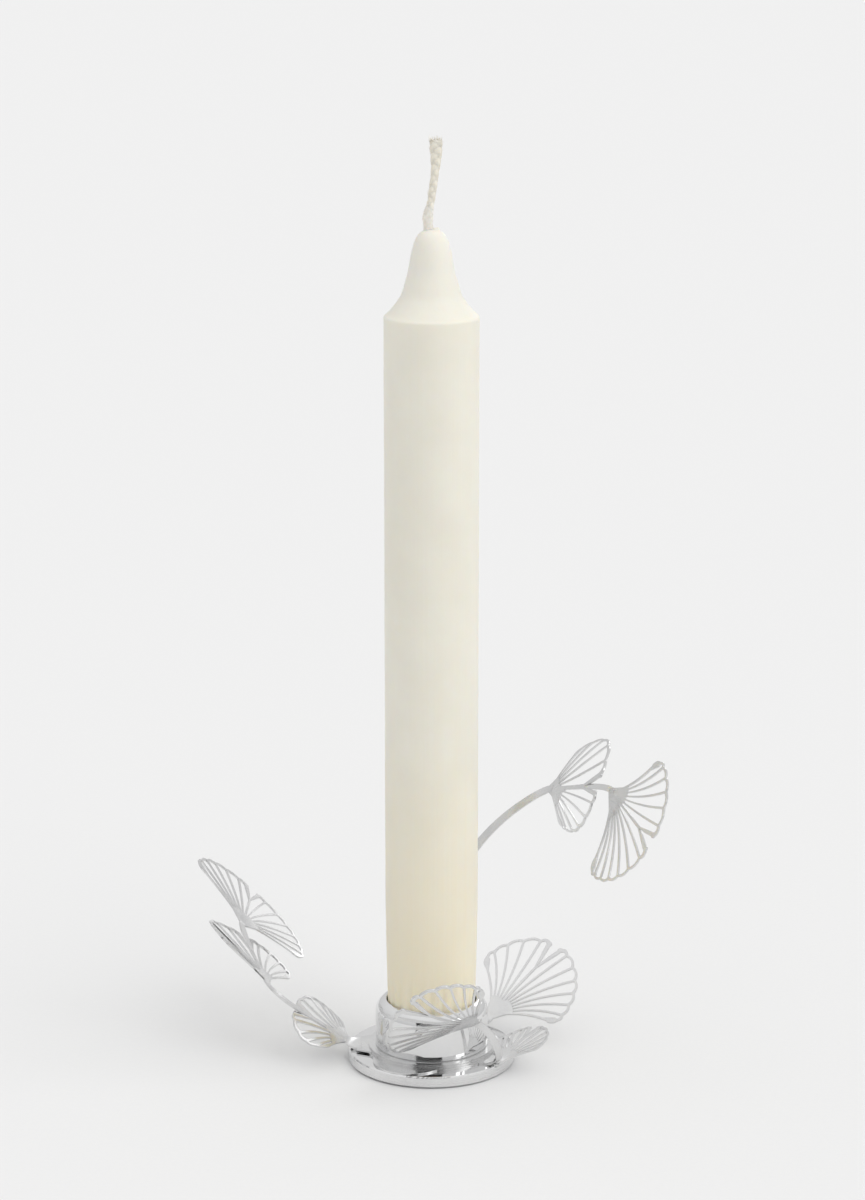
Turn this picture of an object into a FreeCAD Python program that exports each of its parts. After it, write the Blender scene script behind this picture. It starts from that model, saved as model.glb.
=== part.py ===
import FreeCAD, Part
import math
import os

# Small table candlestick: a polished base disc, three etched sheet-metal ginkgo
# sprays clamped under a turned cup, and a crown candle standing in the cup.
# Millimetres, +Z up, origin at the centre of the underside.

os.makedirs("parts", exist_ok=True)
V = FreeCAD.Vector

# ---------------------------------------------------------------- driving sizes
BASE_RADIUS = 20.0
BASE_LOW = 0.2
BASE_TOP = 2.95
BASE_CHAMFER = 0.35
PAD_RADIUS = 17.5
PAD_TOP = 0.7
PAD_GAP = 0.3
PAD_HOLE_GAP = 0.6

SHEET = 0.4
STEM_SHEET = 0.46
STEM_LIFT = 0.05
RING_RADII = (16.0, 15.6, 15.2)

CUP_RADIUS = 13.5
CUP_WALL_TOP = 12.45
CUP_BORE_RADIUS = 10.75
CUP_LIP_TOP = 15.55
CUP_FLOOR = 2.6
LIP_EDGE = 0.2
FOOT_BREAK = 0.25

SCREW_RADIUS = 2.0
SCREW_HEAD_RADIUS = 3.8
SCREW_CLEARANCE = 0.15
SOCKET_WIDTH = 2.5
SOCKET_DEPTH = 1.4

CANDLE_RADIUS = 11.0
CANDLE_FOOT_RADIUS = 10.2
CANDLE_FOOT_HEIGHT = 34.0
CANDLE_LENGTH_TO_SHOULDER = 173.7
CANDLE_TIP_HEIGHT = 20.0
FLUTES = 24
FLUTE_DEPTH = 0.35
FLUTE_RADIUS = 1.15
FLUTE_HEIGHT = 18.0
FLUTE_LEAN = 0.055
WICK_RADIUS = 0.95
WICK_LENGTH = 21.5

STACK_TOP = BASE_TOP + len(RING_RADII) * SHEET
CUP_SEAT = STACK_TOP + CUP_FLOOR
CANDLE_SEAT = CUP_SEAT + 0.1


def save(shape, node):
    """Write one named piece."""
    shape.exportStep("parts/%s.step" % node)


def polar(radius, degrees):
    """Point in the XY plane at a radius and an angle."""
    angle = math.radians(degrees)
    return V(radius * math.cos(angle), radius * math.sin(angle), 0)


def cylinder(radius, low, high):
    """Upright round bar on the axis between two heights."""
    return Part.makeCylinder(radius, high - low, V(0, 0, low))


def turned(profile):
    """Solid of revolution about Z from a closed list of edges in the XZ plane."""
    face = Part.Face(Part.Wire(profile))
    return face.revolve(V(0, 0, 0), V(0, 0, 1), 360)


def line(start, end):
    return Part.LineSegment(V(start[0], 0, start[1]), V(end[0], 0, end[1])).toShape()


def arc(start, through, end):
    points = [V(p[0], 0, p[1]) for p in (start, through, end)]
    return Part.Arc(*points).toShape()


# ---------------------------------------------------------------- turned parts
def base_disc():
    """Round foot with a shallow recess below and a countersunk screw hole."""
    edge = BASE_RADIUS - BASE_CHAMFER
    step = PAD_RADIUS + PAD_GAP
    bore = SCREW_RADIUS + SCREW_CLEARANCE
    head = SCREW_HEAD_RADIUS + SCREW_CLEARANCE
    sink_top = PAD_TOP + head - bore
    outline = [
        (step, BASE_LOW), (edge, BASE_LOW), (BASE_RADIUS, BASE_LOW + BASE_CHAMFER),
        (BASE_RADIUS, BASE_TOP - BASE_CHAMFER), (edge, BASE_TOP),
        (bore, BASE_TOP), (bore, sink_top), (head, PAD_TOP), (step, PAD_TOP),
    ]
    return turned([line(a, b) for a, b in zip(outline, outline[1:] + outline[:1])])


def foot_pad():
    """Thin felt ring glued in the recess, standing proud of the metal."""
    hole = SCREW_HEAD_RADIUS + PAD_HOLE_GAP
    return cylinder(PAD_RADIUS, 0, PAD_TOP).cut(cylinder(hole, 0, PAD_TOP))


def cup():
    """Turned candle cup: straight wall, domed shoulder up to the bore, thick floor."""
    low = STACK_TOP
    wall = CUP_RADIUS
    bore = CUP_BORE_RADIUS
    hole = SCREW_RADIUS
    dome = CUP_LIP_TOP - CUP_WALL_TOP
    centre = wall - dome
    slope = 0.5 * math.sqrt(2.0) * dome
    mouth = bore + LIP_EDGE
    mouth_top = CUP_WALL_TOP + math.sqrt(dome ** 2 - (mouth - centre) ** 2)
    edges = [
        line((hole, low), (wall - FOOT_BREAK, low)),
        line((wall - FOOT_BREAK, low), (wall, low + FOOT_BREAK)),
        line((wall, low + FOOT_BREAK), (wall, CUP_WALL_TOP)),
        arc((wall, CUP_WALL_TOP), (centre + slope, CUP_WALL_TOP + slope), (mouth, mouth_top)),
        line((mouth, mouth_top), (bore, mouth_top - LIP_EDGE)),
        line((bore, mouth_top - LIP_EDGE), (bore, CUP_SEAT)),
        line((bore, CUP_SEAT), (hole, CUP_SEAT)),
        line((hole, CUP_SEAT), (hole, low)),
    ]
    return turned(edges)


def candle_profile_point(height):
    """Radius of the candle's plain body at a height: a slim foot, then parallel."""
    rise = min(1.0, (height - CANDLE_SEAT) / CANDLE_FOOT_HEIGHT)
    return CANDLE_FOOT_RADIUS + (CANDLE_RADIUS - CANDLE_FOOT_RADIUS) * rise ** 0.85


def candle():
    """Crown candle: fluted tapered foot, straight body and a bell-shaped shoulder."""
    low = CANDLE_SEAT
    shoulder = low + CANDLE_LENGTH_TO_SHOULDER
    foot = CANDLE_FOOT_RADIUS
    body = CANDLE_RADIUS
    hole = WICK_RADIUS
    foot_top = low + CANDLE_FOOT_HEIGHT
    middle = low + 0.45 * CANDLE_FOOT_HEIGHT
    tip = shoulder + CANDLE_TIP_HEIGHT
    edges = [
        line((hole, low), (foot - 0.5, low)),
        line((foot - 0.5, low), (foot, low + 0.5)),
        arc((foot, low + 0.5), (candle_profile_point(middle), middle), (body, foot_top)),
        line((body, foot_top), (body, shoulder - 0.6)),
        arc((body, shoulder - 0.6), (body - 0.25, shoulder + 0.1), (body - 0.9, shoulder + 0.6)),
        arc((body - 0.9, shoulder + 0.6), (7.1, shoulder + 4.7), (5.5, shoulder + 9.8)),
        arc((5.5, shoulder + 9.8), (4.7, shoulder + 14.0), (3.7, shoulder + 17.8)),
        arc((3.7, shoulder + 17.8), (2.6, tip - 0.75), (hole, tip)),
        line((hole, tip), (hole, low)),
    ]
    wax = turned(edges)
    return wax.cut(Part.makeCompound(foot_flutes()))


def foot_flutes():
    """Cutters for the shallow grooves round the candle's foot, fading out upwards."""
    reach = CANDLE_FOOT_RADIUS + FLUTE_RADIUS - FLUTE_DEPTH
    cutters = []
    for index in range(FLUTES):
        angle = 360.0 * index / FLUTES
        start = polar(reach, angle) + V(0, 0, CANDLE_SEAT - 1.0)
        lean = polar(FLUTE_LEAN, angle) + V(0, 0, 1)
        cutters.append(Part.makeCylinder(FLUTE_RADIUS, FLUTE_HEIGHT + 1.0, start, lean))
    return cutters


def wick():
    """Cotton wick: a core the length of the candle, and a leaning free end above the tip."""
    low = CANDLE_SEAT + 0.5
    tip = CANDLE_SEAT + CANDLE_LENGTH_TO_SHOULDER + CANDLE_TIP_HEIGHT
    core = WICK_RADIUS - 0.02
    stations = [
        (0.0, low, core), (0.0, tip, core), (-0.2, tip + 2.0, 1.15), (-0.45, tip + 5.0, 1.1),
        (-0.35, tip + 8.0, 0.85), (0.0, tip + 12.0, 0.8), (0.45, tip + 16.0, 0.9),
        (0.9, tip + 19.0, 1.1), (0.95, tip + WICK_LENGTH, 1.3),
    ]
    rounds = []
    for across, height, radius in stations:
        centre = V(across, 0, height)
        rounds.append(Part.makePolygon([centre + polar(radius, 30 * step) for step in range(13)]))
    return Part.makeLoft(rounds, True, True)


def clamp_screw():
    """Countersunk screw with a hexagon socket; its thread is left plain."""
    flat = PAD_TOP + 0.1
    slope_top = flat + SCREW_HEAD_RADIUS - SCREW_RADIUS
    tip = CUP_SEAT
    shank = SCREW_RADIUS - 0.02
    profile = [
        (0, flat), (SCREW_HEAD_RADIUS, flat), (shank, slope_top), (shank, tip - 0.3),
        (shank - 0.3, tip), (0, tip),
    ]
    body = turned([line(a, b) for a, b in zip(profile, profile[1:] + profile[:1])])
    reach = 0.5 * SOCKET_WIDTH / math.cos(math.radians(30))
    corners = [polar(reach, 60 * step) + V(0, 0, flat) for step in range(7)]
    socket = Part.Face(Part.makePolygon(corners)).extrude(V(0, 0, SOCKET_DEPTH))
    return body.cut(socket)


# ---------------------------------------------------------------- etched leaves
# Rib widths are in millimetres, angles in degrees; depths and bows are shares of the leaf.
RIB = 0.58
RIB_ROOT = 0.36
ROOT_GAP = 0.15
MID_RIB = 1.0
NOTCH_DEPTH = 0.70
RIB_BOW = 0.40
SCALLOP = 1.022
END_TURN = 4.0
NODE_BACK = 1.3
NODE_BACK_ANGLE = 150
FLAT = 1e-4


class Leaf:
    """A two-lobed fan: where its ribs meet, how it faces, how wide each lobe opens."""

    def __init__(self, node, heading, climb, roll, radius, lobes, cells, end_ratio, bend, bend_angle):
        self.node = V(*node)
        self.radius = radius
        self.lobes = lobes
        self.cells = cells
        self.end_ratio = end_ratio
        self.bend = bend
        self.bend_angle = math.radians(bend_angle)
        head, rise, turn = (math.radians(a) for a in (heading, climb, roll))
        self.axis = V(math.cos(rise) * math.cos(head), math.cos(rise) * math.sin(head), math.sin(rise))
        level = V(-math.sin(head), math.cos(head), 0)
        upward = self.axis.cross(level)
        self.side = level * math.cos(turn) + upward * math.sin(turn)
        self.normal = self.axis.cross(self.side)

    def lobe(self, sign):
        """Spread of one lobe and the number of openings in it."""
        index = 0 if sign > 0 else 1
        return self.lobes[index], self.cells[index]

    def rim(self, angle, spread):
        """Outline radius at an angle from the middle of the leaf."""
        share = min(1.0, abs(angle) / spread)
        return self.radius * (1 - (1 - self.end_ratio) * share ** 1.5)

    def sag(self, point):
        """Height of the bent sheet over the flat one at a pattern point."""
        reach = point.x * math.cos(self.bend_angle) + point.y * math.sin(self.bend_angle)
        return 0.5 * self.bend * reach * reach

    def place(self, point):
        """A point of the flat pattern, on the bent leaf in space."""
        lift = self.normal * self.sag(point)
        return self.node + self.axis * point.x + self.side * point.y + lift

    def matrix(self):
        a, s, n, p = self.axis, self.side, self.normal, self.node
        return FreeCAD.Matrix(a.x, s.x, n.x, p.x, a.y, s.y, n.y, p.y, a.z, s.z, n.z, p.z, 0, 0, 0, 1)


def on_rib(leaf, angle, radius, offset=0.0):
    """Point beside a rib's centre line; ribs start bunched and open outwards."""
    bent = angle * (1 - RIB_BOW * (1 - radius / leaf.radius))
    return polar(radius, bent + math.degrees(offset / radius))


def rib_edge(leaf, angle, start, end, offset):
    """One side of a rib, as an arc between two radii; a rib is slimmer at its root."""
    if abs(angle) < 0.01:
        a, b = (V(r, offset, 0) for r in (start, end))
        return Part.LineSegment(a, b).toShape()
    slim = RIB_ROOT / RIB
    middle = 0.5 * (start + end)
    points = [
        on_rib(leaf, angle, start, offset * slim),
        on_rib(leaf, angle, middle, offset * 0.5 * (slim + 1)),
        on_rib(leaf, angle, end, offset),
    ]
    return Part.Arc(*points).toShape()


def lobe_outline(leaf, sign):
    """Edges of one lobe, from the notch, round the scalloped rim, to the node."""
    spread, count = leaf.lobe(sign)
    radius = leaf.radius
    step = spread / count
    first = 0.45 * step
    angles = [first] + [step * k for k in range(1, count)] + [spread - END_TURN]
    corners = [on_rib(leaf, sign * a, leaf.rim(a, spread)) for a in angles]
    notch = V(NOTCH_DEPTH * radius, 0, 0)
    shoulder = on_rib(leaf, sign * 0.30 * step, 0.95 * radius)
    mid = (notch + shoulder) * 0.5 + V(0, -sign * 0.12, 0)
    edges = [Part.Arc(notch, mid, shoulder).toShape()]
    turn = on_rib(leaf, sign * 0.34 * step, 0.99 * radius)
    edges.append(Part.Arc(shoulder, turn, corners[0]).toShape())
    for (a, b), (p, q) in zip(zip(angles, angles[1:]), zip(corners, corners[1:])):
        bulge = SCALLOP * 0.5 * (leaf.rim(a, spread) + leaf.rim(b, spread))
        edges.append(Part.Arc(p, on_rib(leaf, sign * 0.5 * (a + b), bulge), q).toShape())
    end = leaf.rim(spread, spread)
    side = sign * 0.5 * RIB
    heel, middle, root = (on_rib(leaf, sign * spread, share * end, side) for share in (0.85, 0.55, 0.25))
    edges.append(Part.Arc(corners[-1], on_rib(leaf, sign * spread, 0.94 * end, side), heel).toShape())
    edges.append(Part.Arc(heel, middle, root).toShape())
    edges.append(Part.LineSegment(root, polar(NODE_BACK, sign * NODE_BACK_ANGLE)).toShape())
    return edges


def cells(leaf, sign, mid_rib):
    """Openings of one lobe, each between two ribs and the scalloped rim."""
    spread, count = leaf.lobe(sign)
    radius = leaf.radius
    step = spread / count
    fan = math.radians(step * (1 - RIB_BOW))
    start = (1.5 * RIB_ROOT + ROOT_GAP) / fan
    first_start = (0.5 * RIB_ROOT + 0.5 * mid_rib + ROOT_GAP) / fan
    half = 0.5 * RIB
    wires = []
    for index in range(count):
        a = step * index
        b = step * (index + 1)
        last = index == count - 1
        near_start = first_start if index == 0 else start
        b_end = 0.80 * leaf.rim(b, spread) if last else leaf.rim(b, spread) - RIB
        inset_b = rib_edge(leaf, sign * b, near_start, b_end, -sign * half)
        tail_b = inset_b.valueAt(inset_b.LastParameter)
        if index == 0:
            a_end = NOTCH_DEPTH * radius - 0.5
            inset_a = rib_edge(leaf, 0, near_start, a_end, sign * 0.5 * mid_rib)
            top_a = inset_a.valueAt(inset_a.LastParameter)
            corner = on_rib(leaf, sign * 0.42 * step, 0.93 * radius, sign * RIB * 0.9)
            crown = on_rib(leaf, sign * 0.62 * step, leaf.rim(0.6 * step, spread) - RIB)
            edges = [inset_a, Part.LineSegment(top_a, corner).toShape()]
            edges.append(Part.Arc(corner, crown, tail_b).toShape())
        else:
            a_end = leaf.rim(a, spread) - RIB
            inset_a = rib_edge(leaf, sign * a, near_start, a_end, sign * half)
            top_a = inset_a.valueAt(inset_a.LastParameter)
            far = spread - END_TURN if last else b
            bulge = SCALLOP * 0.5 * (leaf.rim(a, spread) + leaf.rim(far, spread)) - RIB
            top = on_rib(leaf, sign * 0.5 * (a + far), bulge)
            corner = tail_b
            if last:
                corner = on_rib(leaf, sign * (far - 2.0), leaf.rim(far, spread) - 1.5 * RIB)
            edges = [inset_a, Part.Arc(top_a, top, corner).toShape()]
            if last:
                edges.append(Part.LineSegment(corner, tail_b).toShape())
        edges.append(inset_b)
        base_a = inset_a.valueAt(inset_a.FirstParameter)
        base_b = inset_b.valueAt(inset_b.FirstParameter)
        edges.append(Part.LineSegment(base_b, base_a).toShape())
        wires.append(Part.Wire(Part.__sortEdges__(edges)))
    return wires


def leaf_solid(leaf, mid_rib=RIB):
    """Etched leaf, bent to its curvature and set in its place."""
    upper = lobe_outline(leaf, 1)
    lower = lobe_outline(leaf, -1)
    back = [polar(NODE_BACK, angle) for angle in (NODE_BACK_ANGLE, 180, -NODE_BACK_ANGLE)]
    heel = Part.Arc(*back).toShape()
    outline = Part.Wire(Part.__sortEdges__(upper + [heel] + lower))
    wires = [outline] + cells(leaf, 1, mid_rib) + cells(leaf, -1, mid_rib)
    pattern = Part.makeFace(wires, "Part::FaceMakerBullseye")
    if abs(leaf.bend) < FLAT:
        pattern.translate(V(0, 0, -0.5 * SHEET))
        solid = pattern.extrude(V(0, 0, SHEET))
    else:
        reach = 0.6 * leaf.radius
        pattern.translate(V(0, 0, -reach))
        prism = pattern.extrude(V(0, 0, 2 * reach))
        solid = prism.common(bent_sheet(leaf))
    return placed(solid, leaf)


def bent_sheet(leaf):
    """Part of a thin tube that touches the flat pattern plane at the node."""
    curve = 1.0 / abs(leaf.bend)
    length = 80.0
    along = V(-math.sin(leaf.bend_angle), math.cos(leaf.bend_angle), 0)
    centre = V(0, 0, math.copysign(curve, leaf.bend)) - along * (0.5 * length)
    outer = Part.makeCylinder(curve + 0.5 * SHEET, length, centre, along)
    inner = Part.makeCylinder(curve - 0.5 * SHEET, length, centre, along)
    return outer.cut(inner)


def placed(solid, leaf):
    copy = solid.copy()
    copy.Placement = FreeCAD.Placement(leaf.matrix())
    return copy


# ---------------------------------------------------------------- stems and sprays
def sheet_level(index):
    """Mid-height of one clamped sheet, counted up from the base disc."""
    return BASE_TOP + (index + 0.5) * SHEET


def strip(points, start_side, end_side, widths, stations=12):
    """Tapered band of sheet along a smooth curve, its width turning from side to side."""
    curve = Part.BSplineCurve()
    curve.interpolate(Points=[V(*p) for p in points])
    low, high = curve.FirstParameter, curve.LastParameter
    sections = []
    for index in range(stations):
        share = index / (stations - 1)
        at = low + share * (high - low)
        centre = curve.value(at)
        way = V(*curve.tangent(at)[0])
        side = V(*start_side) * (1 - share) + V(*end_side) * share
        side = (side - way * side.dot(way)).normalize()
        thick = way.cross(side).normalize() * (0.5 * STEM_SHEET)
        width = widths[0] * (1 - share) + widths[1] * share
        half = side * (0.5 * width)
        corners = [centre + half + thick, centre - half + thick, centre - half - thick, centre + half - thick]
        sections.append(Part.makePolygon(corners + corners[:1]))
    return Part.makeLoft(sections, True, False)


def bud_stem(leaf, following, widths):
    """Band from a leaf's middle rib, out through its notch, to the next leaf's node."""
    rib = [leaf.place(V(share * leaf.radius, 0, 0)) for share in (0.45, 0.58, NOTCH_DEPTH)]
    span = (following.node - rib[-1]).Length
    arrive = following.node - following.axis * (0.25 * span)
    inside = following.node + following.axis * 1.0
    return strip(rib + [arrive, inside], leaf.side, following.side, widths)


def clamp_plate(index):
    """Round middle of a spray, held between the base disc and the cup."""
    low = BASE_TOP + index * SHEET
    return cylinder(RING_RADII[index], low, low + SHEET)


def flat_neck(index, heading, reach, widths):
    """Flat tapered band from the round middle out to near the disc's edge."""
    low = BASE_TOP + index * SHEET
    out = polar(1.0, heading)
    across = polar(1.0, heading + 90)
    near, far = (0.5 * width for width in widths)
    start = out * (RING_RADII[index] - 4.0) + V(0, 0, low)
    end = out * reach + V(0, 0, low)
    corners = [start + across * near, end + across * far, end - across * far, start - across * near]
    return Part.Face(Part.makePolygon(corners + corners[:1])).extrude(V(0, 0, SHEET))


def joined_spray(pieces, index):
    """One etched sheet out of its overlapping pieces, with its screw hole."""
    whole = pieces[0].multiFuse(pieces[1:]).removeSplitter()
    low = BASE_TOP + index * SHEET
    return whole.cut(cylinder(SCREW_RADIUS + SCREW_CLEARANCE, low - 1, low + SHEET + 1))


LEFT_BASE = ((-19.9, 0.0, 4.15), -173, 37, -20, 16.1, (59, 91), (5, 6), 0.45, -0.059, 74)
LEFT_MIDDLE = ((-39.6, 1.0, 19.35), 108, 8, 43, 22.5, (94, 50), (6, 5), 0.72, 0.014, -62)
LEFT_END = ((-46.4, 22.0, 26.65), 87, 2, 44, 22.5, (76, 81), (6, 7), 0.82, 0.009, -86)
BACK_BASE = ((14.1, 16.0, 4.55), 35, 34, 13, 25.2, (56, 74), (5, 7), 0.71, 0.0, 0)
BACK_MIDDLE = ((28.7, 12.0, 64.15), -63, 17, 62, 24.0, (90, 63), (5, 6), 0.47, -0.039, -90)
BACK_END = ((42.3, -8.0, 69.35), -71, -11, 66, 26.0, (60, 72), (6, 7), 0.72, 0.004, -37)
FRONT_BASE = ((16.3, -11.2, 3.58), 53, 16, -13, 15.0, (44, 72), (4, 5), 0.67, 0.02, -77)
FRONT_END = ((10.5, -16.0, 14.95), -126, 16, 36, 26.0, (53, 69), (6, 7), 0.69, 0.019, 28)


def left_spray():
    """Spray that leans out to the left: a small leaf, and two more in a chain."""
    index = 1
    level = sheet_level(index) + STEM_LIFT
    base, middle, end = Leaf(*LEFT_BASE), Leaf(*LEFT_MIDDLE), Leaf(*LEFT_END)
    rise = strip([(-17.0, 0.0, level), (-18.4, 0.0, level + 0.1), base.node, base.node + base.axis],
                 (0, -1, 0), base.side, (7.0, 2.4))
    pieces = [clamp_plate(index), flat_neck(index, 180, 18.0, (14.0, 8.0)), rise]
    pieces += [leaf_solid(base, MID_RIB), leaf_solid(middle, MID_RIB), leaf_solid(end)]
    pieces += [bud_stem(base, middle, (1.0, 1.8)), bud_stem(middle, end, (1.0, 1.6))]
    return joined_spray(pieces, index)


def back_spray():
    """Spray behind: one leaf beside the disc, and a tall stem that carries two more."""
    index = 2
    level = sheet_level(index) + STEM_LIFT
    base, middle, end = Leaf(*BACK_BASE), Leaf(*BACK_MIDDLE), Leaf(*BACK_END)
    rise = strip([(11.0, 12.5, level), (12.2, 13.8, level + 0.1), base.node, base.node + base.axis],
                 (-0.75, 0.66, 0), base.side, (5.0, 2.6))
    route = [(0.5, 17.0, level), (0.5, 18.6, level + 0.2), (0.6, 19.8, level + 2.5), (1.0, 20.0, 13.55),
             (4.0, 20.0, 33.55), (12.6, 18.0, 49.75), (21.5, 15.5, 58.95), middle.node, middle.node + middle.axis]
    stem = strip(route, (-1, 0, 0), middle.side, (2.6, 1.7), 24)
    pieces = [clamp_plate(index), flat_neck(index, 49, 18.0, (9.0, 5.0)), flat_neck(index, 88, 18.2, (6.0, 2.8))]
    pieces += [rise, leaf_solid(base), stem, leaf_solid(middle, MID_RIB)]
    pieces += [leaf_solid(end), bud_stem(middle, end, (1.0, 1.6))]
    return joined_spray(pieces, index)


def front_spray():
    """Spray in front: one leaf beside the disc, and one that climbs across the cup."""
    index = 0
    level = sheet_level(index) + STEM_LIFT
    low = BASE_TOP + index * SHEET
    base, end = Leaf(*FRONT_BASE), Leaf(*FRONT_END)
    tab = Part.makeCylinder(9.0, SHEET, V(-5.0, -9.5, low))
    stem = strip([(12.9, -10.9, level + 0.1), (14.5, -12.4, level + 0.35), (15.9, -13.9, level + 2.4),
                  (15.6, -15.2, 8.05), (13.6, -15.9, 12.35), end.node, end.node + end.axis],
                 (0.7, 0.7, 0), end.side, (1.8, 1.8), 16)
    pieces = [clamp_plate(index), tab, flat_neck(index, -35, 20.4, (9.0, 3.0))]
    pieces += [leaf_solid(base), stem, leaf_solid(end)]
    return joined_spray(pieces, index)


PIECES = {
    "base_disc": base_disc,
    "foot_pad": foot_pad,
    "clamp_screw": clamp_screw,
    "front_leaf_spray": front_spray,
    "left_leaf_spray": left_spray,
    "back_leaf_spray": back_spray,
    "candle_cup": cup,
    "candle_wax": candle,
    "candle_wick": wick,
}

for node, make in PIECES.items():
    save(make(), node)
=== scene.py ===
import math
import random

import bmesh
import bpy
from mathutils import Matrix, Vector, noise


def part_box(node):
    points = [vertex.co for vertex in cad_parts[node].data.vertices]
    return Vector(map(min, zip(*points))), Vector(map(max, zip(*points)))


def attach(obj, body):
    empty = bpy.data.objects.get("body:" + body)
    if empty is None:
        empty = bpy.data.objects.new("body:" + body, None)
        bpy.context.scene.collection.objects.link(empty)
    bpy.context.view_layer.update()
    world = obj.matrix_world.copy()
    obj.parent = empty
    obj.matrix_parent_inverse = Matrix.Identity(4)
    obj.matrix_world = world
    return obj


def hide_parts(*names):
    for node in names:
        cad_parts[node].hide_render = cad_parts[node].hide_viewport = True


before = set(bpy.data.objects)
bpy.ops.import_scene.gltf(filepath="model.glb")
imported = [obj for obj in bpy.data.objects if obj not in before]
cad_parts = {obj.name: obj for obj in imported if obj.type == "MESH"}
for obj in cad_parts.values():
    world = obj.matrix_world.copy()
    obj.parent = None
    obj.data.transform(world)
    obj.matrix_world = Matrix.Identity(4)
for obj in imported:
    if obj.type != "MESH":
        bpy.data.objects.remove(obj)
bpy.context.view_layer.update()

MM = 0.001

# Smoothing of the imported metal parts: faces that meet below this angle shade as one surface.
CREASE_ANGLE = math.radians(32)
WELD_DISTANCE = 0.0005 * MM

# Candle, in millimetres. The bell's stations are (height above the shoulder, radius).
CANDLE_SEGMENTS = 240
FOOT_RADIUS = 10.2
FOOT_RISE = 34.0
FOOT_CURVE = 0.62
FLUTES = 24
FLUTE_DEPTH = 0.30
FLUTE_HEIGHT = 19.0
FLUTE_SHARPNESS = 1.6
UNDERSIDE_RADII = (2.0, 5.0, 8.5, FOOT_RADIUS - 0.75, FOOT_RADIUS - 0.35)
BELL = (
    (0.0, 11.0), (0.35, 10.86), (0.75, 10.35), (1.6, 9.55), (3.2, 8.25), (5.2, 7.0), (7.6, 6.2),
    (10.8, 5.36), (14.4, 4.72), (16.8, 4.12), (18.2, 3.55), (19.2, 2.85), (19.8, 2.1), (20.1, 1.45),
)
BELL_STEPS = 56
BELL_SLOW_PART = 0.4
BELL_SLOWNESS = 1.4
STEP_UP_BODY = 3.0
STEP_UP_FOOT = 0.6
WOBBLE = 0.035
WOBBLE_ROUND = 1.3
WOBBLE_UP = 0.035
DRIP_POINT = Vector((1.35, -0.35))
DRIP_HEIGHT = 0.75
DRIP_WIDTH = 0.42
DRIP_LOWEST = 150

# Wick, in millimetres above the candle's tip: (height, sideways, half width, half depth).
WICK_LINE = (
    (-2.0, -0.35, 0.62, 0.55), (0.0, -0.60, 0.86, 0.70), (2.5, -0.62, 0.98, 0.74), (4.2, -0.46, 0.94, 0.70),
    (6.5, -0.12, 0.92, 0.62), (9.2, 0.28, 0.95, 0.58), (12.0, 0.66, 0.96, 0.54), (14.2, 0.90, 1.08, 0.50),
    (16.2, 1.00, 1.30, 0.46), (18.2, 1.00, 1.45, 0.42), (20.3, 0.90, 1.48, 0.36),
)
BRAID_PITCH = 7.5
STRAND_SHARE = 0.70
STRAND_SIDES = 12
CROSSING_DIP = 0.45
YARN_RIPPLE = 0.035
WICK_STEPS = 150
END_ROUND = 0.5
STRANDS = 3
ROOT_OFFSET = 0.42
ROOT_RADIUS = 0.36
ROOT_LIFTS = (-0.02, 0.4, 0.8)
FIBRES = 130
FIBRE_RADIUS = 0.045
FIBRE_STEPS = 5
FIBRE_CORNERS = (0.0, 1.257, 2.513, 3.770, 5.027)

# Set wax round the wick's root, in millimetres above the tip: (height, sideways, radius).
COAT_LINE = (
    (-0.9, -0.55, 1.50), (0.0, -0.62, 1.20), (1.1, -0.78, 1.12), (2.6, -0.86, 1.20), (3.8, -0.72, 1.14),
    (4.7, -0.60, 0.98), (5.3, -0.55, 0.80),
)
COAT_STEPS = 40
COAT_SIDES = 32
COAT_DEPTH = 0.85
COAT_WAVE = 0.10

# Studio, in metres.
FLOOR_LEVEL = -0.02 * MM
FLOOR_HALF = 14.0
CARD_AIM = Vector((0.0, 0.0, 0.02))

# Camera: where the photograph was taken from.
LENS = 100.0
SENSOR = 36.0
CAMERA_PLACE = Vector((0.22, -755.1, 300.75)) * MM
CAMERA_DOWN = math.radians(13.9)


# ---------------------------------------------------------------- material nodes

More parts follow.
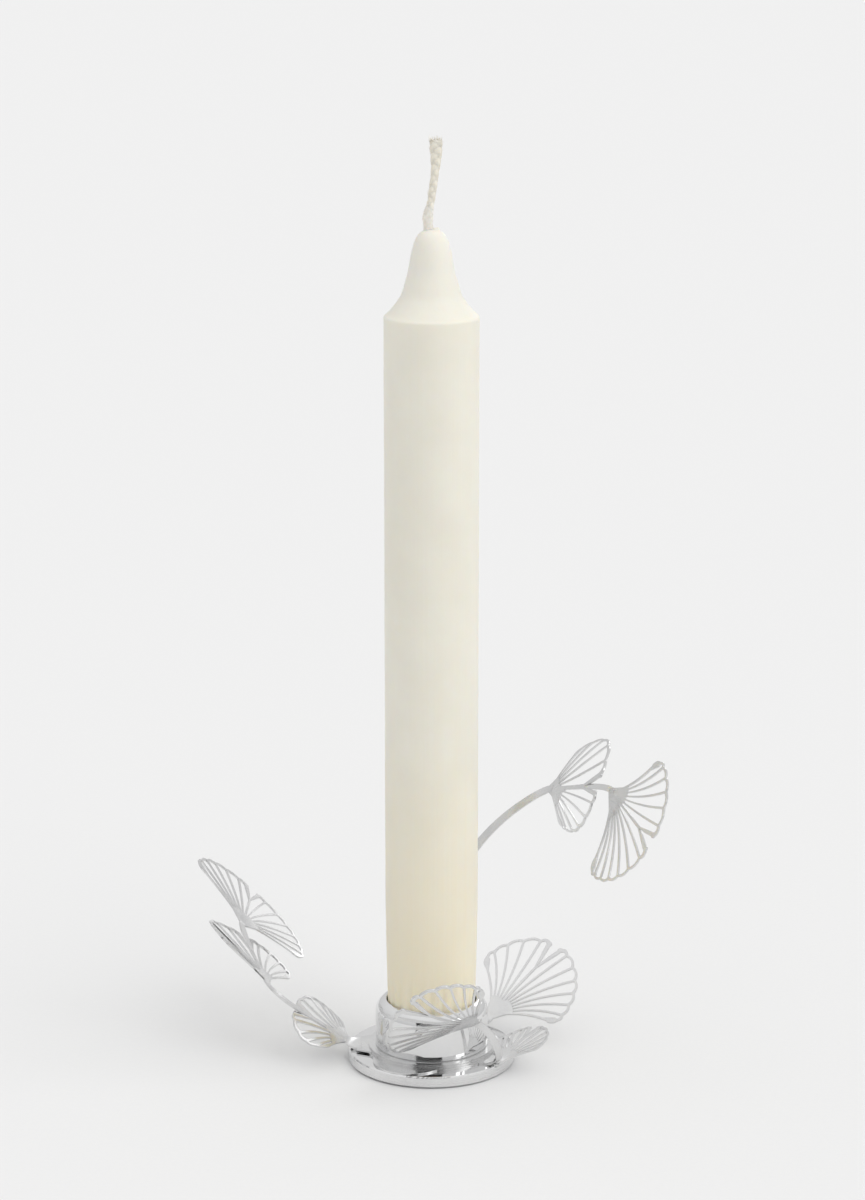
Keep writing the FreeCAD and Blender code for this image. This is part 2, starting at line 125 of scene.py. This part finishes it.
class Shader:
    """A material and short calls for the nodes that it is made of."""

    def __init__(self, name):
        self.material = bpy.data.materials.new(name)
        self.material.use_nodes = True
        self.tree = self.material.node_tree
        self.surface = self.tree.nodes["Principled BSDF"]
        self.place = self.node("ShaderNodeTexCoord").outputs["Object"]

    def node(self, kind, values=(), **settings):
        made = self.tree.nodes.new(kind)
        for key, value in settings.items():
            setattr(made, key, value)
        for key, value in dict(values).items():
            if isinstance(value, bpy.types.NodeSocket):
                self.tree.links.new(value, made.inputs[key])
            else:
                made.inputs[key].default_value = value
        return made

    def set(self, **values):
        for key, value in values.items():
            socket = self.surface.inputs[key.replace("_", " ")]
            if isinstance(value, bpy.types.NodeSocket):
                self.tree.links.new(value, socket)
            else:
                socket.default_value = value

    def stretched(self, x, y, z):
        """Object coordinates with each axis scaled on its own."""
        return self.node("ShaderNodeMapping", {"Vector": self.place, "Scale": (x, y, z)}).outputs["Vector"]

    def noise(self, scale, detail=3.0, roughness=0.55, vector=None, distortion=0.0):
        values = {"Vector": vector or self.place, "Scale": scale, "Detail": detail,
                  "Roughness": roughness, "Distortion": distortion}
        return self.node("ShaderNodeTexNoise", values).outputs["Fac"]

    def remap(self, value, low, high, to_low, to_high):
        values = {"Value": value, "From Min": low, "From Max": high, "To Min": to_low, "To Max": to_high}
        return self.node("ShaderNodeMapRange", values).outputs["Result"]

    def maths(self, operation, first, second):
        made = self.node("ShaderNodeMath", operation=operation, use_clamp=False)
        for index, value in enumerate((first, second)):
            if isinstance(value, bpy.types.NodeSocket):
                self.tree.links.new(value, made.inputs[index])
            else:
                made.inputs[index].default_value = value
        return made.outputs["Value"]

    def ramp(self, value, *stops):
        made = self.node("ShaderNodeValToRGB", {"Fac": value})
        ramp = made.color_ramp
        while len(ramp.elements) < len(stops):
            ramp.elements.new(0.5)
        for element, (position, colour) in zip(ramp.elements, stops):
            element.position = position
            element.color = (*colour, 1.0)
        return made.outputs["Color"]

    def mix(self, share, first, second):
        made = self.node("ShaderNodeMix", data_type="RGBA", blend_type="MIX")
        for index, value in ((0, share), (6, first), (7, second)):
            if isinstance(value, bpy.types.NodeSocket):
                self.tree.links.new(value, made.inputs[index])
            else:
                made.inputs[index].default_value = value
        return made.outputs[2]

    def bump(self, height, distance, strength=1.0, normal=None):
        values = {"Height": height, "Distance": distance, "Strength": strength}
        if normal is not None:
            values["Normal"] = normal
        return self.node("ShaderNodeBump", values).outputs["Normal"]

    def axis(self, vector, name):
        return self.node("ShaderNodeSeparateXYZ", {"Vector": vector}).outputs[name]

    def edges(self, radius):
        """(normal rounded over the edges, mask that is 1 along an edge)."""
        rounded = self.node("ShaderNodeBevel", {"Radius": radius}, samples=4).outputs["Normal"]
        flat = self.node("ShaderNodeNewGeometry").outputs["Normal"]
        made = self.node("ShaderNodeVectorMath", operation="DOT_PRODUCT")
        self.tree.links.new(rounded, made.inputs[0])
        self.tree.links.new(flat, made.inputs[1])
        return rounded, self.remap(made.outputs["Value"], 0.99, 0.86, 0.0, 1.0)


def polished_metal(name, dark, light, smooth, hazy, edge_radius):
    """Bright plate: faint haze and smears, hair-fine polishing marks, edges worn to one even tone."""
    s = Shader(name)
    haze = s.noise(70.0, 4.0, 0.6)
    smear = s.noise(1.0, 3.0, 0.5, s.stretched(520.0, 160.0, 260.0), 0.6)
    fine = s.noise(1.0, 2.0, 0.7, s.stretched(9000.0, 700.0, 2400.0))
    rounded, edge = s.edges(edge_radius)
    tint = s.ramp(s.maths("ADD", s.maths("MULTIPLY", haze, 0.6), s.maths("MULTIPLY", smear, 0.4)),
                  (0.30, dark), (0.70, light))
    wear_and_edge_shade = s.mix(s.maths("MULTIPLY", edge, 0.5), tint, (0.78, 0.78, 0.775, 1.0))
    rough = s.maths("ADD", s.remap(smear, 0.35, 0.75, smooth, hazy), s.maths("MULTIPLY", fine, 0.03))
    s.set(Base_Color=wear_and_edge_shade, Metallic=1.0, Roughness=rough,
          Normal=s.bump(fine, 0.0016 * MM, 0.5, s.bump(haze, 0.02 * MM, 0.25, rounded)))
    return s


def cup_material():
    """The turned cup: a mirror all over."""
    dark, light = (0.75, 0.755, 0.76), (0.81, 0.81, 0.81)
    return polished_metal("cup_polished_plate", dark, light, 0.025, 0.08, 0.12 * MM).material


def base_material():
    """The disc: a mirror face, and an edge turned to fine lines that run round it."""
    dark, light = (0.76, 0.76, 0.765), (0.82, 0.82, 0.82)
    s = polished_metal("disc_polished_plate", dark, light, 0.03, 0.09, 0.15 * MM)
    upward = s.axis(s.node("ShaderNodeNewGeometry").outputs["Normal"], "Z")
    side = s.remap(s.maths("ABSOLUTE", upward, 0.0), 0.55, 0.15, 0.0, 1.0)
    lines = s.noise(1.0, 4.0, 0.75, s.stretched(90.0, 90.0, 14000.0))
    patches = s.noise(260.0, 3.0, 0.6)
    brushed = s.maths("ADD", s.remap(lines, 0.3, 0.7, 0.16, 0.34), s.maths("MULTIPLY", patches, 0.08))
    polished = s.surface.inputs["Roughness"].links[0].from_socket
    first = s.surface.inputs["Normal"].links[0].from_socket
    rough = s.node("ShaderNodeMix", data_type="FLOAT")
    for index, value in ((0, side), (2, polished), (3, brushed)):
        s.tree.links.new(value, rough.inputs[index])
    s.set(Roughness=rough.outputs[0],
          Normal=s.bump(s.maths("MULTIPLY", lines, side), 0.012 * MM, 0.55, first))
    return s.material


def leaf_material():
    """Etched sheet: satin bright plate, finely pitted, with duller etched edges that are darkened with
    painted shade.
    """
    s = Shader("leaf_etched_plate")
    haze = s.noise(160.0, 4.0, 0.6)
    grain = s.noise(1.0, 2.0, 0.6, s.stretched(5200.0, 1300.0, 1300.0))
    pits = s.noise(9000.0, 2.0, 0.5)
    rounded, edge = s.edges(0.10 * MM)
    tint = s.ramp(haze, (0.32, (0.71, 0.71, 0.715)), (0.68, (0.78, 0.78, 0.775)))
    # Painted shade: the etched edges are darkened towards (0.37, 0.37, 0.375) to stand in for the shadow gaps
    # under and beside the sheet edges; the added roughness is the etched edges' own dullness.
    wear_and_edge_shade = s.mix(s.maths("MULTIPLY", edge, 0.75), tint, (0.37, 0.37, 0.375, 1.0))
    rough = s.maths("ADD", s.remap(haze, 0.3, 0.7, 0.13, 0.24), s.maths("MULTIPLY", grain, 0.07))
    s.set(Base_Color=wear_and_edge_shade, Metallic=1.0, Roughness=s.maths("ADD", rough, s.maths("MULTIPLY", edge, 0.12)),
          Normal=s.bump(pits, 0.004 * MM, 0.5, s.bump(grain, 0.004 * MM, 0.5, rounded)))
    return s.material


def screw_material():
    """Plain steel screw: lathe lines round its head and a slightly dull face."""
    s = Shader("screw_turned_steel")
    place = s.node("ShaderNodeSeparateXYZ", {"Vector": s.place})
    across = s.maths("MULTIPLY", place.outputs["X"], place.outputs["X"])
    along = s.maths("MULTIPLY", place.outputs["Y"], place.outputs["Y"])
    radius = s.maths("POWER", s.maths("ADD", across, along), 0.5)
    rings = s.maths("SINE", s.maths("MULTIPLY", radius, 42000.0), 0.0)
    speckle = s.noise(2600.0, 4.0, 0.65)
    tint = s.ramp(speckle, (0.35, (0.44, 0.44, 0.45)), (0.7, (0.60, 0.60, 0.61)))
    s.set(Base_Color=tint, Metallic=1.0, Roughness=s.remap(speckle, 0.3, 0.7, 0.26, 0.42),
          Normal=s.bump(rings, 0.004 * MM, 0.5))
    return s.material


def felt_material():
    """Short black felt: matted fibres, flecks of lint and a soft sheen."""
    s = Shader("pad_black_felt")
    matted = s.noise(2600.0, 6.0, 0.72, None, 1.2)
    lint = s.noise(9000.0, 2.0, 0.6)
    tint = s.ramp(matted, (0.30, (0.012, 0.012, 0.013)), (0.62, (0.045, 0.045, 0.047)),
                  (0.80, (0.10, 0.10, 0.10)))
    s.set(Base_Color=tint, Roughness=s.remap(lint, 0.3, 0.7, 0.86, 1.0), Sheen_Weight=0.35,
          Sheen_Roughness=0.5, Normal=s.bump(matted, 0.25 * MM, 0.9, s.bump(lint, 0.08 * MM, 0.6)))
    return s.material


def wax_material(foot, shoulder):
    """Cream wax: faint bloom and draw lines along the candle, painted shade that turns it warmer and browner
    towards its foot, and a paler painted sheen over the bell.
    """
    s = Shader("wax_cream")
    height = s.axis(s.place, "Z")
    bloom = s.noise(85.0, 5.0, 0.6)
    clouds = s.noise(22.0, 3.0, 0.5)
    drawn = s.noise(1.0, 3.0, 0.6, s.stretched(900.0, 900.0, 7.0))
    specks = s.noise(5200.0, 2.0, 0.6)
    body = s.ramp(s.maths("ADD", s.maths("MULTIPLY", bloom, 0.5), s.maths("MULTIPLY", clouds, 0.5)),
                  (0.34, (0.765, 0.742, 0.650)), (0.66, (0.815, 0.795, 0.712)))
    # Painted shade: over the lowest 75 mm the wax turns warmer and browner, as the foot looks when it is
    # shaded down in the cup.
    foot_shade = s.remap(height, foot + 75 * MM, foot + 4 * MM, 0.0, 0.72)
    streak = s.maths("MULTIPLY", s.remap(drawn, 0.42, 0.68, 0.0, 0.45),
                     s.remap(height, foot + 100 * MM, foot + 15 * MM, 0.25, 1.0))
    body = s.mix(streak, body, (0.80, 0.735, 0.58, 1.0))
    coloured = s.mix(foot_shade, body, (0.84, 0.755, 0.545, 1.0))
    # Painted sheen: the bell and a band just under the shoulder are mixed towards a paler, whiter cream, as
    # where light catches the top of the candle.
    bell_sheen = s.remap(height, shoulder - 2 * MM, shoulder + 10 * MM, 0.0, 0.35)
    coloured = s.mix(bell_sheen, coloured, (0.80, 0.79, 0.745, 1.0))
    rough = s.maths("ADD", s.remap(bloom, 0.3, 0.7, 0.36, 0.48), s.maths("MULTIPLY", specks, 0.06))
    uneven = s.bump(drawn, 0.05 * MM, 0.45, s.bump(bloom, 0.12 * MM, 0.35))
    s.set(Base_Color=coloured, Roughness=rough, Subsurface_Weight=0.45, Subsurface_Radius=(1.0, 0.72, 0.42),
          Subsurface_Scale=3.2 * MM, IOR=1.44, Normal=s.bump(specks, 0.012 * MM, 0.4, uneven))
    return s.material


def wick_material(wax_line):
    """Cotton yarn: uneven spun fibres, soaked with wax near the candle."""
    s = Shader("wick_cotton")
    height = s.axis(s.place, "Z")
    spun = s.noise(1.0, 4.0, 0.7, s.stretched(9000.0, 9000.0, 2200.0), 1.5)
    shade = s.noise(900.0, 3.0, 0.6)
    dry = s.ramp(s.maths("ADD", s.maths("MULTIPLY", spun, 0.6), s.maths("MULTIPLY", shade, 0.4)),
                 (0.25, (0.71, 0.655, 0.55)), (0.48, (0.78, 0.735, 0.635)), (0.75, (0.84, 0.80, 0.71)))
    soaked = s.remap(height, wax_line + 1.2 * MM, wax_line - 0.5 * MM, 0.0, 1.0)
    colour = s.mix(s.maths("MULTIPLY", soaked, 0.7), dry, (0.84, 0.82, 0.76, 1.0))
    s.set(Base_Color=colour, Roughness=s.remap(soaked, 0.0, 1.0, 0.92, 0.45), Subsurface_Weight=0.2,
          Subsurface_Radius=(1.0, 0.8, 0.6), Subsurface_Scale=0.6 * MM, Sheen_Weight=0.25,
          Normal=s.bump(spun, 0.04 * MM, 0.6))
    return s.material


def coat_material():
    """Thin set wax over the wick's root, clearer than the candle."""
    s = Shader("wick_wax_coat")
    cloud = s.noise(1300.0, 3.0, 0.6)
    tint = s.ramp(cloud, (0.35, (0.72, 0.69, 0.62)), (0.7, (0.81, 0.79, 0.74)))
    s.set(Base_Color=tint, Roughness=s.remap(cloud, 0.3, 0.7, 0.25, 0.4), Subsurface_Weight=0.5,
          Subsurface_Radius=(1.0, 0.8, 0.6), Subsurface_Scale=1.0 * MM, IOR=1.44,
          Normal=s.bump(cloud, 0.1 * MM, 0.5))
    return s.material


def floor_material():
    """Matt pale paper with the faintest tooth."""
    s = Shader("studio_paper")
    tooth = s.noise(900.0, 3.0, 0.6)
    tint = s.ramp(tooth, (0.3, (0.775, 0.775, 0.775)), (0.7, (0.785, 0.785, 0.785)))
    s.set(Base_Color=tint, Roughness=0.95, Specular_IOR_Level=0.0, Normal=s.bump(tooth, 0.02 * MM, 0.2))
    return s.material


def glow_material(name, strength):
    """A softbox front, its brightness varying a little across it."""
    s = Shader(name)
    spread = s.noise(1.5, 1.0, 0.4)
    s.set(Base_Color=(0.0, 0.0, 0.0, 1.0), Emission_Color=(1.0, 1.0, 1.0, 1.0),
          Emission_Strength=s.remap(spread, 0.3, 0.7, 0.9 * strength, 1.1 * strength))
    return s.material


def card_material(name, level):
    """Matt dark studio card, seen only in the reflections."""
    s = Shader(name)
    weave = s.noise(400.0, 2.0, 0.5)
    tint = s.ramp(weave, (0.3, (level * 0.92,) * 3), (0.7, (level * 1.08,) * 3))
    s.set(Base_Color=tint, Roughness=0.9)
    return s.material


# ---------------------------------------------------------------- geometry helpers

def mesh_object(name, rings):
    """One smooth closed skin through rings of points, each ring with the same count."""
    made = bmesh.new()
    add_tube(made, rings)
    return finished(name, made)


def add_tube(made, rings):
    """Adds a skin through rings of points, closed by a fan of faces at each end."""
    rows = [[made.verts.new(point) for point in ring] for ring in rings]
    count = len(rows[0])
    for lower, upper in zip(rows, rows[1:]):
        for index in range(count):
            following = (index + 1) % count
            made.faces.new((lower[index], lower[following], upper[following], upper[index]))
    for row, turned in ((rows[0], True), (rows[-1], False)):
        centre = made.verts.new(sum((v.co for v in row), Vector()) / count)
        for index in range(count):
            pair = (row[index], row[(index + 1) % count])
            made.faces.new((*(reversed(pair) if turned else pair), centre))


def finished(name, made):
    """Turns the mesh under construction into a smooth-shaded object in the scene."""
    bmesh.ops.recalc_face_normals(made, faces=made.faces)
    mesh = bpy.data.meshes.new(name)
    made.to_mesh(mesh)
    made.free()
    mesh.polygons.foreach_set("use_smooth", [True] * len(mesh.polygons))
    piece = bpy.data.objects.new(name, mesh)
    bpy.context.scene.collection.objects.link(piece)
    return piece


def paint(piece, material):
    """Gives a piece one material in place of any that it has."""
    piece.data.materials.clear()
    piece.data.materials.append(material)


def eased(share):
    """A share from 0 to 1 with a soft start and end."""
    share = min(1.0, max(0.0, share))
    return share * share * (3 - 2 * share)


def along(stations, height):
    """The stations' other values at a height, by a smooth curve through them."""
    last = len(stations) - 2
    index = next((i for i in range(last) if height < stations[i + 1][0]), last)
    low, high = stations[index], stations[index + 1]
    before, after = stations[max(0, index - 1)], stations[min(last + 1, index + 2)]
    span = high[0] - low[0]
    t = min(1.0, max(0.0, (height - low[0]) / span))
    result = []
    for a, b, c, d in zip(before[1:], low[1:], high[1:], after[1:]):
        start = (c - a) / max(1e-6, high[0] - before[0]) * span
        end = (d - b) / max(1e-6, after[0] - low[0]) * span
        result.append((2 * t**3 - 3 * t**2 + 1) * b + (t**3 - 2 * t**2 + t) * start
                      + (3 * t**2 - 2 * t**3) * c + (t**3 - t**2) * end)
    return result


# ---------------------------------------------------------------- candle

def candle_heights(foot, shoulder):
    """Heights of the candle's rings up to its shoulder, closer together over the fluted foot."""
    heights = [foot + 0.5]
    while heights[-1] < shoulder - 1.5:
        above = heights[-1] - foot
        heights.append(heights[-1] + (STEP_UP_FOOT if above < FLUTE_HEIGHT + 4 else STEP_UP_BODY))
    return heights


def candle_ring(height, radius, foot, depth):
    """One ring of the candle, with its flutes, slow unevenness and the drip beside the wick."""
    ring = []
    for index in range(CANDLE_SEGMENTS):
        angle = 2 * math.pi * index / CANDLE_SEGMENTS
        groove = (0.5 + 0.5 * math.cos(FLUTES * angle)) ** FLUTE_SHARPNESS
        around = Vector((WOBBLE_ROUND * math.cos(angle), WOBBLE_ROUND * math.sin(angle), height * WOBBLE_UP))
        uneven = noise.noise(around)
        reach = radius - depth * groove + WOBBLE * uneven * min(1.0, radius / 5.0)
        x, y = reach * math.cos(angle), reach * math.sin(angle)
        near = (Vector((x, y)) - DRIP_POINT).length
        drip = DRIP_HEIGHT * math.exp(-(near / DRIP_WIDTH) ** 2) if height > foot + DRIP_LOWEST else 0.0
        ring.append(Vector((x, y, height + drip)) * MM)
    return ring


def candle(wax_look):
    """Crown candle: fluted slim foot, long body, bell shoulder and a rounded tip. Gives the tip's height."""
    low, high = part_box("candle_wax")
    foot, tip = low.z / MM, high.z / MM
    shoulder = tip - BELL[-1][0]
    body = BELL[0][1]
    rings = []
    for radius in UNDERSIDE_RADII:
        rings.append(candle_ring(foot, radius, foot, FLUTE_DEPTH * min(1.0, radius / 9.0)))
    for height in candle_heights(foot, shoulder):
        rise = min(1.0, (height - foot) / FOOT_RISE)
        radius = FOOT_RADIUS + (body - FOOT_RADIUS) * rise ** FOOT_CURVE
        fade = 1 - eased((height - foot - 0.45 * FLUTE_HEIGHT) / (0.55 * FLUTE_HEIGHT))
        rings.append(candle_ring(height, radius, foot, FLUTE_DEPTH * fade))
    shift = BELL_SLOW_PART ** BELL_SLOWNESS - BELL_SLOW_PART
    for step in range(BELL_STEPS + 1):
        share = step / BELL_STEPS
        if share < BELL_SLOW_PART:
            height = BELL[-1][0] * share ** BELL_SLOWNESS
        else:
            height = BELL[-1][0] * (share + shift * (1 - share) / (1 - BELL_SLOW_PART))
        rings.append(candle_ring(shoulder + height, along(BELL, height)[0], foot, 0.0))
    wax = mesh_object("candle_wax_body", rings)
    paint(wax, wax_look)
    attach(wax, "candle")
    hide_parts("candle_wax")
    return tip


def wick_point(height):
    """Centre of the wick at a height, with its half width and half depth there."""
    sideways, width, depth = along(WICK_LINE, height)
    return Vector((sideways, 0.12 * math.sin(height * 0.5), height)), width, depth


def strand_rings(tip, phase):
    """A braid's strand: it swings from side to side and dips under the others at each crossing."""
    low, high = WICK_LINE[0][0], WICK_LINE[-1][0]
    rings = []
    for step in range(WICK_STEPS + 1):
        height = low + (high - low) * step / WICK_STEPS
        centre, width, depth = wick_point(height)
        turn = 2 * math.pi * height / BRAID_PITCH + phase
        thick = STRAND_SHARE * width
        swing = Vector((math.sin(turn) * (width - thick), math.sin(2 * turn) * (depth * CROSSING_DIP), tip))
        end = math.sqrt(max(0.04, 1 - max(0.0, 1 - (high - height) / END_ROUND) ** 2))
        wide, deep = thick * (0.5 + 0.5 * end), min(thick, depth) * end
        rings.append(strand_ring(centre + swing, wide, deep, height, phase))
    return rings


def strand_ring(centre, wide, deep, height, phase):
    """One ring of a strand, rippled by its twisted yarns."""
    ring = []
    for index in range(STRAND_SIDES):
        angle = 2 * math.pi * index / STRAND_SIDES
        yarn = 1 + YARN_RIPPLE * math.cos(4 * angle + 3.1 * height + phase)
        ring.append((centre + Vector((wide * yarn * math.cos(angle), deep * yarn * math.sin(angle), 0))) * MM)
    return ring


def loose_fibres(made, tip):
    """Fine cotton ends standing out of the cut top and a few along the free length."""
    rng = random.Random(11)
    top = WICK_LINE[-1][0]
    for index in range(FIBRES):
        at_top = index < 0.8 * FIBRES
        start = top - rng.uniform(0.2, 1.4) if at_top else rng.uniform(6.0, top - 1.5)
        centre, width, depth = wick_point(start)
        side = rng.uniform(-0.95, 0.95) if at_top else rng.choice((-1, 1)) * rng.uniform(0.75, 0.95)
        root = centre + Vector((side * width, rng.uniform(-0.8, 0.8) * depth, tip))
        lean = Vector((rng.uniform(-0.22, 0.22) + 0.12 * side, rng.uniform(-0.3, 0.3), 1.0)).normalized()
        curl = Vector((rng.uniform(-0.25, 0.25), rng.uniform(-0.25, 0.25), 0.0))
        length = rng.uniform(0.5, 1.6) if at_top else rng.uniform(0.6, 1.3)
        rings = []
        for step in range(FIBRE_STEPS + 1):
            share = step / FIBRE_STEPS
            point = root + lean * (length * share) + curl * share * share * length
            reach = FIBRE_RADIUS * (1.25 - 0.7 * share)
            rings.append([(point + Vector((reach * math.cos(a), reach * math.sin(a), 0))) * MM
                          for a in FIBRE_CORNERS])
        add_tube(made, rings)


def wick(tip, foot, cotton, set_wax):
    """Braided cotton wick: plaited strands, a frayed cut end, ends under the foot, and its set wax."""
    made = bmesh.new()
    for strand in range(STRANDS):
        add_tube(made, strand_rings(tip, 2 * math.pi * strand / STRANDS))
    loose_fibres(made, tip)
    for strand in range(STRANDS):
        angle = 2 * math.pi * strand / STRANDS
        centre = Vector((ROOT_OFFSET * math.cos(angle), ROOT_OFFSET * math.sin(angle), 0))
        rings = [strand_ring(centre + Vector((0, 0, foot + lift)), ROOT_RADIUS, ROOT_RADIUS, lift, angle)
                 for lift in ROOT_LIFTS]
        add_tube(made, rings)
    braid = finished("candle_wick_braid", made)
    paint(braid, cotton)
    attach(braid, "candle")
    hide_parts("candle_wick")
    root_wax(tip, set_wax)


def root_wax(tip, set_wax):
    """Collar of set wax that climbs the wick's root."""
    rings = []
    low, high = COAT_LINE[0][0], COAT_LINE[-1][0]
    for step in range(COAT_STEPS + 1):
        height = low + (high - low) * step / COAT_STEPS
        sideways, reach = along(COAT_LINE, height)
        ring = []
        for index in range(COAT_SIDES):
            angle = 2 * math.pi * index / COAT_SIDES
            wavy = 1 + COAT_WAVE * noise.noise(Vector((2 * math.cos(angle), 2 * math.sin(angle), height)))
            ring.append(Vector((sideways + reach * wavy * math.cos(angle),
                                COAT_DEPTH * reach * wavy * math.sin(angle), tip + height)) * MM)
        rings.append(ring)
    coat = mesh_object("candle_wick_root_wax", rings)
    paint(coat, set_wax)
    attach(coat, "candle")


# ---------------------------------------------------------------- packed metal parts

def dress(node, material):
    """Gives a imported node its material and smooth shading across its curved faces."""
    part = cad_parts[node]
    paint(part, material)
    part.data.polygons.foreach_set("use_smooth", [True] * len(part.data.polygons))
    weld = part.modifiers.new("weld", "WELD")
    weld.merge_threshold = WELD_DISTANCE
    split = part.modifiers.new("crease", "EDGE_SPLIT")
    split.split_angle = CREASE_ANGLE
    split.use_edge_sharp = False


# ---------------------------------------------------------------- studio

def floor(material):
    """A wide sheet of pale paper under the object."""
    made = bmesh.new()
    half = FLOOR_HALF
    corners = ((-half, -half), (half, -half), (half, half), (-half, half))
    made.faces.new([made.verts.new((x, y, FLOOR_LEVEL)) for x, y in corners])
    sheet = finished("studio_paper", made)
    paint(sheet, material)


def card(name, place, size, material):
    """A flat card, turned to face the cup, that only reflections see."""
    made = bmesh.new()
    width, height = size
    corners = ((-width, -height), (width, -height), (width, height), (-width, height))
    made.faces.new([made.verts.new((0.5 * x, 0.5 * y, 0)) for x, y in corners])
    piece = finished(name, made)
    piece.location = place
    piece.rotation_euler = (CARD_AIM - Vector(place)).to_track_quat("-Z", "Y").to_euler()
    paint(piece, material)
    piece.visible_camera = False
    piece.visible_diffuse = False
    piece.visible_shadow = False


def sun(name, direction, strength, spread, colour):
    """A wide soft sun that lights surfaces and stays out of the reflections."""
    light = bpy.data.lights.new(name, "SUN")
    light.energy = strength
    light.angle = math.radians(spread)
    light.color = colour
    lamp = bpy.data.objects.new(name, light)
    lamp.rotation_euler = Vector(direction).to_track_quat("-Z", "Y").to_euler()
    lamp.visible_glossy = False
    bpy.context.scene.collection.objects.link(lamp)


def room_light():
    """Soft white room: a pale dome, brighter overhead than at the horizon."""
    world = bpy.data.worlds.new("studio_dome")
    world.use_nodes = True
    bpy.context.scene.world = world
    tree = world.node_tree
    tree.nodes.clear()
    place = tree.nodes.new("ShaderNodeTexCoord")
    split = tree.nodes.new("ShaderNodeSeparateXYZ")
    shade = tree.nodes.new("ShaderNodeMapRange")
    ground = tree.nodes.new("ShaderNodeBackground")
    out = tree.nodes.new("ShaderNodeOutputWorld")
    tree.links.new(place.outputs["Generated"], split.inputs[0])
    tree.links.new(split.outputs["Z"], shade.inputs["Value"])
    for key, value in (("From Min", 0.0), ("From Max", 0.9), ("To Min", 0.80), ("To Max", 1.14)):
        shade.inputs[key].default_value = value
    tree.links.new(shade.outputs["Result"], ground.inputs["Strength"])
    tree.links.new(ground.outputs[0], out.inputs[0])


def studio():
    """The paper, the cards, the dome and the two suns."""
    floor(floor_material())
    card("studio_camera_card", (-0.08, -0.86, 0.30), (0.85, 0.42), card_material("studio_black", 0.02))
    card("studio_back_softbox", (0.42, 1.0, 0.50), (0.30, 0.40), glow_material("studio_glow", 1.9))
    card("studio_side_softbox", (1.0, -0.55, 0.75), (0.45, 0.60), glow_material("studio_glow_side", 2.0))
    room_light()
    sun("key_light", (-0.72, 0.42, -0.85), 1.12, 55, (1.0, 1.0, 1.0))
    sun("fill_light", (0.75, 0.35, -1.0), 0.12, 60, (1.0, 0.985, 0.96))


def camera():
    """The camera at the photograph's angle."""
    data = bpy.data.cameras.new("photo_camera")
    data.lens = LENS
    data.sensor_width = SENSOR
    data.clip_start = 0.01
    data.clip_end = 50.0
    eye = bpy.data.objects.new("photo_camera", data)
    eye.location = CAMERA_PLACE
    eye.rotation_euler = (math.pi / 2 - CAMERA_DOWN, 0.0, 0.0)
    bpy.context.scene.collection.objects.link(eye)
    bpy.context.scene.camera = eye


# ---------------------------------------------------------------- build

bpy.context.scene.view_settings.view_transform = "Standard"

leaf_plate = leaf_material()
for node_name, look in (
    ("base_disc", base_material()), ("foot_pad", felt_material()), ("clamp_screw", screw_material()),
    ("front_leaf_spray", leaf_plate), ("left_leaf_spray", leaf_plate), ("back_leaf_spray", leaf_plate),
    ("candle_cup", cup_material()),
):
    dress(node_name, look)

wax_low, wax_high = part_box("candle_wax")
candle_tip = candle(wax_material(wax_low.z, wax_high.z - BELL[-1][0] * MM))
wick(candle_tip, wax_low.z / MM, wick_material(wax_high.z + 5.0 * MM), coat_material())
studio()
camera()
